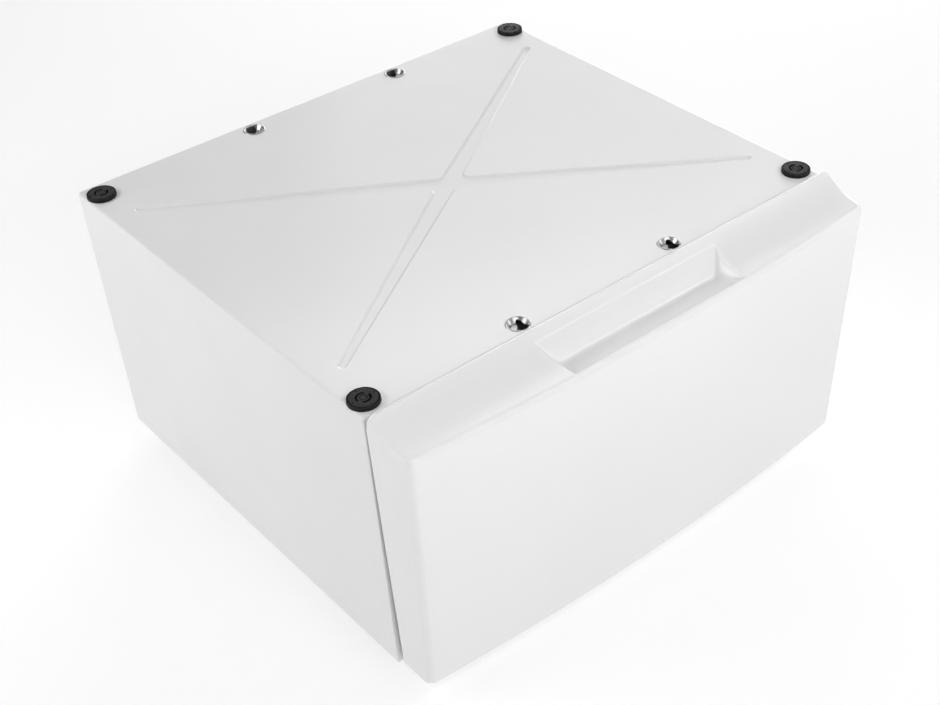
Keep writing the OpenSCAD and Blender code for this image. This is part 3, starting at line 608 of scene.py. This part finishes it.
# %% pads
PAD_H, PAD_STEPS = 5 * MM, 72
GROOVE_R, GROOVE_W, GROOVE_DEEP = 7.5 * MM, 2.4 * MM, 3 * MM
GROOVE_FIRST, GROOVE_SWEEP, GROOVE_STEPS = (190, 10), 140, 20
MARK_R, MARK_SIZE, MARK_ANGLES = 13.2 * MM, 1.1 * MM, (0, 90, 180, 270)


def turned(points):
    """A profile given as (radius, height) in millimetres."""
    return [(r * MM, h * MM) for r, h in points]


PAD_PROFILE = turned(
    [(0, 4.85), (3.2, 4.85), (3.4, 4.5), (4.0, 4.2), (4.6, 4.5), (4.8, 4.9)]
    + [(6, 4.95), (14.9, 4.95), (15.3, 4.8), (15.6, 3.9), (16.2, 3.4), (16.7, 3.7), (16.85, 4.3)]
    + arc((17.25, 4.1), 0.5, 130, 10, 7)
    + [(17.8, 3.2), (18, 0.5), (17.85, 0.1), (17.5, 0), (4.0, 0), (3.95, -1.5), (4.9, -1.7)]
    + [(3.1, -5.8), (2.8, -6), (0, -6)])


def groove(centre, first):
    """A small block spun part of the way round the pad's middle."""
    x, y, z = centre
    o = block("groove", (x + GROOVE_R - GROOVE_W / 2, y - NEAR, z + PAD_H - GROOVE_DEEP),
              (x + GROOVE_R + GROOVE_W / 2, y + NEAR, z + PAD_H + MM))
    edit(o)
    pick("FACE", lambda f, m: f.normal.y > 0.9)
    bpy.ops.mesh.spin(steps=GROOVE_STEPS, angle=math.radians(GROOVE_SWEEP), center=centre,
                      axis=(0, 0, 1))
    weld()
    bpy.ops.transform.rotate(value=-math.radians(first), orient_axis="Z", center_override=centre)
    done()
    return o


def mark(centre, angle):
    """A small ball in the pad's face, for a round dimple."""
    a = math.radians(angle)
    x, y, z = centre
    deselect()
    bpy.ops.mesh.primitive_uv_sphere_add(
        segments=16, ring_count=8, radius=MARK_SIZE,
        location=(x + MARK_R * math.cos(a), y + MARK_R * math.sin(a), z + PAD_H))
    return bpy.context.object


def pad(corner):
    c = centre_of("pad_" + corner)
    centre = (c.x, c.y, high.z)
    o = lathe("rubber_pad_" + corner, centre, PAD_PROFILE, PAD_STEPS)
    for first in GROOVE_FIRST:
        cut(o, groove(centre, first))
    for angle in MARK_ANGLES:
        cut(o, mark(centre, angle))
    smooth(o, 40)
    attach(o, "cabinet")
    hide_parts("pad_" + corner)
    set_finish(o, "black_rubber")
    return o


pads = [pad(corner) for corner in corners]
report(pads[0])

# %% [markdown]
# ## Tie-down cups
# A cup is stamped from bright sheet: a rolled rim that lies on the top, a dished wall, and a flat
# floor with a keyhole slot for the head of a bolt. The turned profile has both its faces, so the
# thickness is real. The slot runs out through the wall toward the nearest edge of the cabinet.

# %% cups
CUP_PROFILE = turned(
    [(0, -5.0), (7.2, -5.0)]
    + arc((7.4, -3.2), 1.8, -84, -40, 4)
    + [(10.7, -1.6), (11.6, -0.5)]
    + arc((13.05, -0.35), 1.15, 150, 60, 6)
    + [(14.0, 0.42), (14.25, 0.05), (14.1, 0.0), (13.3, 0.0), (12.5, -0.35), (11.5, -1.8)]
    + [(9.3, -4.9), (8.6, -5.6), (7.8, -5.8), (0, -5.8)])
# The slot's outline seen from above, (to the right, outward) in millimetres from the middle.
SLOT = [(-6.2, 13.2), (6.4, 13.2), (8.8, 4), (8.9, -2), (8.2, -6), (6.6, -8.6), (4.8, -9.4),
        (3.2, -8.6), (2.4, -6.8), (1.2, -3), (-2.2, 1), (-5.6, 4.6)]
SLOT_DEEP, SLOT_OVER, CUP_STEPS = 8 * MM, 2 * MM, 96


def slot_cutter(centre, outward):
    """The outline is filled, laid under the cup and extruded up through it."""
    x, y, z = centre
    o = outline_face("slot", [(x - outward * r * MM, y + outward * v * MM, z - SLOT_DEEP)
                              for r, v in SLOT])
    edit(o)
    pick("FACE", lambda f, m: True)
    bpy.ops.mesh.extrude_region_move(TRANSFORM_OT_translate={"value": (0, 0, SLOT_DEEP + SLOT_OVER)})
    bpy.ops.mesh.select_all(action="SELECT")
    bpy.ops.mesh.normals_make_consistent(inside=False)
    done()
    return o


def cup(corner):
    c = centre_of("cup_" + corner)
    centre = (c.x, c.y, high.z)
    o = lathe("bright_cup_" + corner, centre, CUP_PROFILE, CUP_STEPS)
    cut(o, slot_cutter(centre, -1 if corner.startswith("front") else 1))
    smooth(o, 30)
    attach(o, "cabinet")
    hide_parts("cup_" + corner)
    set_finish(o, "bright_cup")
    return o


cups = [cup(corner) for corner in corners]
report(cups[0])

# %% [markdown]
# ## Finishes
# Each finish is a few procedural textures read in object coordinates, so it stays on the piece in
# every view. The main colour and gloss are set on the shader, and the textures add what a hand or
# an eye would notice: the orange peel of baked enamel, the spangle of galvanised sheet, the fine
# grain of a moulding.


# %% finishes: helpers
TEXTURE_LOW, TEXTURE_HIGH = 0.3, 0.7


def sockets(material):
    return material.node_tree.nodes["Principled BSDF"].inputs


def finish(name, colour, roughness, **extra):
    material = bpy.data.materials.new(name)
    material.use_nodes = True
    sockets(material)["Base Color"].default_value = (*colour, 1)
    sockets(material)["Roughness"].default_value = roughness
    for socket, value in extra.items():
        sockets(material)[socket.replace("_", " ")].default_value = value
    return material


def add(material, kind, **settings):
    node = material.node_tree.nodes.new("ShaderNode" + kind)
    for key, value in settings.items():
        if key in node.inputs:
            node.inputs[key].default_value = value
        else:
            setattr(node, key, value)
    return node


def link(material, a, b):
    material.node_tree.links.new(a, b)


def place(material, stretch=(1, 1, 1)):
    """Object coordinates, stretched along an axis where a grain has a direction."""
    coordinates = add(material, "TexCoord")
    mapping = add(material, "Mapping", Scale=stretch)
    link(material, coordinates.outputs["Object"], mapping.inputs["Vector"])
    return mapping.outputs["Vector"]


def noise(material, vector, scale, detail=2.0):
    node = add(material, "TexNoise", Scale=scale, Detail=detail)
    link(material, vector, node.inputs["Vector"])
    return node.outputs["Fac"]


def span(material, value, from_min, from_max, to_min, to_max):
    """Carries a value from one range over to another."""
    node = add(material, "MapRange")
    ends = {"From Min": from_min, "From Max": from_max, "To Min": to_min, "To Max": to_max}
    for name, number in ends.items():
        node.inputs[name].default_value = number
    link(material, value, node.inputs["Value"])
    return node.outputs["Result"]


def steer(material, value, low_value, high_value, socket):
    """Turns a texture's usual span into a range of roughness."""
    steered = span(material, value, TEXTURE_LOW, TEXTURE_HIGH, low_value, high_value)
    link(material, steered, sockets(material)[socket])


def compare(material, operation, first, second):
    node = add(material, "Math", operation=operation)
    link(material, first, node.inputs[0])
    link(material, second, node.inputs[1])
    return node.outputs["Value"]


def tint(material, value, dark, light):
    """Lets a texture move the colour between two close shades."""
    node = add(material, "ValToRGB")
    shades = ((TEXTURE_LOW, dark), (TEXTURE_HIGH, light))
    for element, (position, colour) in zip(node.color_ramp.elements, shades):
        element.position = position
        element.color = (*colour, 1)
    link(material, value, node.inputs["Fac"])
    link(material, node.outputs["Color"], sockets(material)["Base Color"])


def relief(material, *layers):
    """Bumps on top of each other: (texture, depth in metres)."""
    below = None
    for value, depth in layers:
        node = add(material, "Bump", Strength=1.0, Distance=depth)
        link(material, value, node.inputs["Height"])
        if below:
            link(material, below, node.inputs["Normal"])
        below = node.outputs["Normal"]
    link(material, below, sockets(material)["Normal"])


# %% finishes: white enamel and white moulding
def white_enamel():
    """Powder enamel baked on steel: a hard gloss with a faint orange peel."""
    m = finish("white_enamel", (0.80, 0.80, 0.80), 0.34, Coat_Weight=0.25, Coat_Roughness=0.12)
    vector = place(m)
    tint(m, noise(m, vector, 7, 3), (0.785, 0.785, 0.785), (0.805, 0.805, 0.805))
    steer(m, noise(m, vector, 22, 4), 0.30, 0.40, "Roughness")
    relief(m, (noise(m, vector, 380, 1), 0.012 * MM), (noise(m, vector, 60, 2), 0.02 * MM))
    return m


def white_moulding():
    """Glossy white plastic with a very fine grain from the mould."""
    m = finish("white_moulding", (0.82, 0.82, 0.82), 0.30, Coat_Weight=0.3, Coat_Roughness=0.1)
    vector = place(m)
    tint(m, noise(m, vector, 5, 3), (0.808, 0.808, 0.808), (0.825, 0.825, 0.825))
    steer(m, noise(m, vector, 18, 4), 0.29, 0.36, "Roughness")
    relief(m, (noise(m, vector, 900, 1), 0.004 * MM), (noise(m, vector, 40, 2), 0.015 * MM))
    return m


# %% finishes: steels
def galvanised():
    """Zinc-coated sheet: crystals a few millimetres across, each with its own shade and gloss."""
    m = finish("galvanised_sheet", (0.60, 0.61, 0.62), 0.42, Metallic=1.0)
    vector = place(m)
    crystals = add(m, "TexVoronoi", Scale=160.0)
    link(m, vector, crystals.inputs["Vector"])
    shade = add(m, "SeparateColor")
    link(m, crystals.outputs["Color"], shade.inputs["Color"])
    tint(m, shade.outputs[0], (0.52, 0.53, 0.545), (0.66, 0.67, 0.68))
    steer(m, shade.outputs[1], 0.34, 0.52, "Roughness")
    relief(m, (noise(m, vector, 700, 2), 0.01 * MM), (noise(m, vector, 30, 2), 0.05 * MM))
    return m


def box_paint():
    """Grey paint on the drawer box: satin, with the sheet's rolling marks just showing."""
    m = finish("grey_box_paint", (0.58, 0.59, 0.60), 0.45)
    grain = noise(m, place(m, (1, 0.05, 1)), 260, 3)
    vector = place(m)
    tint(m, noise(m, vector, 9, 3), (0.565, 0.575, 0.585), (0.60, 0.61, 0.62))
    steer(m, noise(m, vector, 30, 4), 0.40, 0.52, "Roughness")
    relief(m, (grain, 0.008 * MM), (noise(m, vector, 420, 1), 0.012 * MM))
    return m


def zinc_plate():
    """Bright zinc on slides, screws and rivets: drawn lines along the slide and a hint of haze."""
    m = finish("zinc_plate", (0.70, 0.715, 0.73), 0.24, Metallic=1.0)
    drawn = noise(m, place(m, (1, 0.03, 1)), 900, 2)
    haze = noise(m, place(m), 45, 4)
    tint(m, haze, (0.66, 0.675, 0.70), (0.735, 0.74, 0.735))
    steer(m, haze, 0.18, 0.34, "Roughness")
    relief(m, (drawn, 0.006 * MM))
    return m


def polished_cup():
    """Stamped and polished steel with a soft shine and faint marks from the press."""
    m = finish("polished_cup", (0.45, 0.45, 0.45), 0.3, Metallic=1.0)
    vector = place(m)
    steer(m, noise(m, vector, 160, 4), 0.28, 0.36, "Roughness")
    tint(m, noise(m, vector, 60, 3), (0.38, 0.38, 0.38), (0.52, 0.52, 0.52))
    relief(m, (noise(m, vector, 240, 2), 0.06 * MM))
    return m


# %% finishes: rubber and cage plastic
def black_rubber():
    """Moulded rubber: charcoal, with a cloudy bloom, and painted shade that makes it nearly black in a
    pad's grooves and on its side wall.
    """
    m = finish("black_rubber", (0.012, 0.012, 0.0125), 0.6, Specular_IOR_Level=0.3)
    vector = place(m)
    parts = add(m, "SeparateXYZ")
    link(m, vector, parts.inputs["Vector"])
    height = parts.outputs["Z"]
    face_z = high.z + PAD_H
    # Painted shade: from 0.6 mm above the top sheet to 0.9 mm under the pad's face, that is in the
    # grooves, the dimples and on the pad's side wall, the colour is pulled down to nearly black, as
    # shade would darken it.
    on_face = span(m, height, face_z - 0.9 * MM, face_z - 0.2 * MM, TEXTURE_LOW, TEXTURE_HIGH)
    off_pad = span(m, height, high.z + 0.2 * MM, high.z + 0.6 * MM, TEXTURE_HIGH, TEXTURE_LOW)
    lit = compare(m, "MAXIMUM", on_face, off_pad)
    bloom = span(m, noise(m, vector, 130, 4), TEXTURE_LOW, TEXTURE_HIGH, 0.55, 0.7)
    shade = compare(m, "MINIMUM", bloom, lit)
    tint(m, shade, (0.0025, 0.0025, 0.0025), (0.012, 0.012, 0.0125))
    steer(m, noise(m, vector, 90, 3), 0.52, 0.68, "Roughness")
    relief(m, (noise(m, vector, 2200, 2), 0.02 * MM), (noise(m, vector, 300, 2), 0.03 * MM))
    return m


def cage_plastic():
    """The ball cages' natural nylon, waxy and slightly greasy."""
    m = finish("cage_nylon", (0.70, 0.66, 0.52), 0.5, Subsurface_Weight=0.1,
               Subsurface_Radius=(0.002, 0.0015, 0.001))
    vector = place(m)
    tint(m, noise(m, vector, 80, 3), (0.66, 0.62, 0.48), (0.73, 0.69, 0.56))
    steer(m, noise(m, vector, 120, 3), 0.38, 0.6, "Roughness")
    relief(m, (noise(m, vector, 600, 2), 0.015 * MM))
    return m


# %% finishes: every piece and every engineering node gets its own
finishes = {
    "white_paint": white_enamel(), "white_front": white_moulding(), "grey_paint": box_paint(),
    "bare_steel": galvanised(), "plated_steel": zinc_plate(), "bright_cup": polished_cup(),
    "black_rubber": black_rubber(), "cage_plastic": cage_plastic(),
}


def dress(o, slot_name):
    o.data.materials.clear()
    o.data.materials.append(finishes[slot_name])


slot_of = {row["node"]: row["material_slot"] for row in frame["record"]["subparts"]}
for node, o in frame["nodes"].items():
    dress(o, slot_of[node])
for o in [shell, front] + pads + cups:
    dress(o, o["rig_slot"])
print({name: sum(1 for s in slot_of.values() if s == name) for name in finishes})

# %% [markdown]
# ## The studio
# White goods on white are lit from all round, but not evenly. A large box stands before the front
# and a narrow strip hangs close over its top edge, so the front is brightest above and fades
# toward the floor. Three boxes light the left side and one the right end, and three more above
# and behind lift the top. A wide panel far behind on the right brightens the ground there. The
# dome is kept dim, because light from everywhere would fill the gaps and the finger pocket. The
# floor is a white sheet lit from behind, as on a photographer's table. The strengths were found
# by rendering each light alone, and then trimmed.

# %% floor and dome
FLOOR_SIZE, FLOOR_Z = 14, -0.5 * MM
WHITE = (1, 1, 1, 1)
DOME_STRENGTH = 0.1
bpy.ops.object.select_all(action="DESELECT")
bpy.ops.mesh.primitive_plane_add(size=FLOOR_SIZE, location=(0, 0, FLOOR_Z))
floor = bpy.context.object
floor.name = "floor"
floor.data.materials.append(finish("white_sheet", (0.55, 0.55, 0.55), 0.9, Emission_Color=WHITE,
                                   Emission_Strength=0.5))
floor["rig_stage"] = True

world = bpy.data.worlds.new("studio")
world.use_nodes = True
background = world.node_tree.nodes["Background"]
background.inputs["Color"].default_value = WHITE
background.inputs["Strength"].default_value = DOME_STRENGTH
bpy.context.scene.world = world
bpy.context.scene.view_settings.view_transform = "Standard"


# %% lights
def soft_box(name, where, aim, size, watts):
    """A lit rectangle at one place, turned toward another."""
    light = bpy.data.lights.new(name, "AREA")
    light.shape = "RECTANGLE"
    light.size, light.size_y = size
    light.energy = watts
    o = bpy.data.objects.new(name, light)
    bpy.context.scene.collection.objects.link(o)
    o.location = where
    o.rotation_euler = (Vector(aim) - Vector(where)).to_track_quat("-Z", "Y").to_euler()


MIDDLE, LEFT_MIDDLE, TOP_MIDDLE = (0, 0, 0.2), (-0.3, 0, 0.2), (0, 0, 0.3)
LIGHTS = [
    ("front_box", (-0.6, -3.2, 1.6), MIDDLE, (2.4, 1.6), 35),
    ("front_strip", (0.1, -0.75, 0.95), (0.05, -0.35, 0.25), (1.6, 0.15), 3.9),
    ("left_box", (-3.0, 0.2, 1.4), MIDDLE, (2.0, 1.6), 10),
    ("left_back_box", (-2.2, 1.2, 1.3), LEFT_MIDDLE, (1.4, 1.0), 8),
    ("left_strip", (-1.2, 0.6, 1.2), LEFT_MIDDLE, (1.0, 0.4), 6),
    ("right_box", (3.0, -1.5, 1.5), (0, -0.2, 0.2), (1.5, 1.2), 19),
    ("top_box", (0.2, 0.3, 3.2), MIDDLE, (2, 2), 3),
    ("back_right_box", (2.2, 2.2, 2.4), TOP_MIDDLE, (2.0, 1.2), 7),
    ("back_strip", (0.5, 1.6, 2.2), TOP_MIDDLE, (2.4, 0.8), 10),
    ("back_panel", (3.0, 2.6, 0.9), MIDDLE, (4.0, 1.7), 105),
]
for row in LIGHTS:
    soft_box(*row)
print(len(LIGHTS), "lights,", sum(watts for *_, watts in LIGHTS), "watts")

# %% [markdown]
# The box of the dressed model is measured too, and its difference from the engineering model's box is
# printed in millimetres. The dressed model has to stay inside the engineering model's box.

visual_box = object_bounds()
growth = [round(1000 * (a - b), 2) for c, v in zip(cad_box, visual_box) for a, b in zip(c, v)]
print("growth in mm:", growth)
